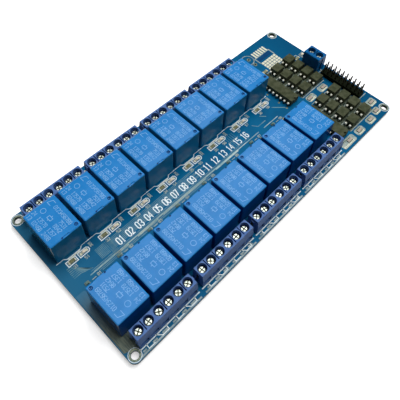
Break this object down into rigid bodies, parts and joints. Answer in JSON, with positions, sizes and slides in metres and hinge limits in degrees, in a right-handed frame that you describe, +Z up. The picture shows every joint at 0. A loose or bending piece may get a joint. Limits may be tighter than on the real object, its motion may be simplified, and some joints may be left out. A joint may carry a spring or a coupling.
{
  "type": "relay module board",
  "caption": "Circuit board with two rows of cube relays, screw terminal blocks along both long edges, optocouplers, driver chips, a pin header and a power terminal.",
  "frame": {"origin": "centre of the board's outline, on the plane through the trimmed lead tips that the board rests on", "axes": "+X along the board towards the control end, +Y across it towards the back row of relays, +Z up out of the component side"},
  "size_m": [0.1804, 0.0834, 0.0188],
  "materials": {
    "board_laminate": "satin solder mask over glass-fibre laminate",
    "relay_cover_plastic": "satin moulded",
    "relay_base_plastic": "moulded",
    "terminal_plastic": "satin moulded",
    "tinned_leads": "tin plated",
    "screw_steel": "zinc plated",
    "clamp_brass": "nickel plated",
    "header_plastic": "moulded",
    "header_pin_metal": "tarnished tin",
    "chip_epoxy": "matte moulded",
    "led_body": "moulded",
    "led_lens": "milky epoxy",
    "resistor_body": "glazed",
    "solder": "bright solder"
  },
  "bodies": {
    "root": {"circuit_board": "board_laminate", "relay_cover_01": "relay_cover_plastic", "relay_cover_02": "relay_cover_plastic", "relay_cover_03": "relay_cover_plastic", "relay_cover_04": "relay_cover_plastic", "relay_cover_05": "relay_cover_plastic", "relay_cover_06": "relay_cover_plastic", "relay_cover_07": "relay_cover_plastic", "relay_cover_08": "relay_cover_plastic", "relay_cover_09": "relay_cover_plastic", "relay_cover_10": "relay_cover_plastic", "relay_cover_11": "relay_cover_plastic", "relay_cover_12": "relay_cover_plastic", "relay_cover_13": "relay_cover_plastic", "relay_cover_14": "relay_cover_plastic", "relay_cover_15": "relay_cover_plastic", "relay_cover_16": "relay_cover_plastic", "relay_bases_front": "relay_base_plastic", "relay_bases_back": "relay_base_plastic", "relay_pins_front": "tinned_leads", "relay_pins_back": "tinned_leads", "terminal_block_front_1": "terminal_plastic", "terminal_block_front_2": "terminal_plastic", "terminal_block_front_3": "terminal_plastic", "terminal_block_front_4": "terminal_plastic", "terminal_block_back_1": "terminal_plastic", "terminal_block_back_2": "terminal_plastic", "terminal_block_back_3": "terminal_plastic", "terminal_block_back_4": "terminal_plastic", "terminal_screws_front": "screw_steel", "terminal_screws_back": "screw_steel", "terminal_clamps_front": "clamp_brass", "terminal_clamps_back": "clamp_brass", "terminal_pins_front": "tinned_leads", "terminal_pins_back": "tinned_leads", "power_terminal": "terminal_plastic", "power_screws": "screw_steel", "power_clamps": "clamp_brass", "power_pins": "tinned_leads", "header_housing": "header_plastic", "header_pins": "header_pin_metal", "optocouplers_a": "chip_epoxy", "optocouplers_b": "chip_epoxy", "opto_leads_a": "tinned_leads", "opto_leads_b": "tinned_leads", "driver_chip_a": "chip_epoxy", "driver_chip_b": "chip_epoxy", "driver_leads_a": "tinned_leads", "driver_leads_b": "tinned_leads", "channel_leds": "led_body", "led_lenses": "led_lens", "chip_resistors": "resistor_body", "resistor_arrays": "resistor_body", "chip_terminations": "solder", "solder_joints": "solder"}
  },
  "joints": []
}
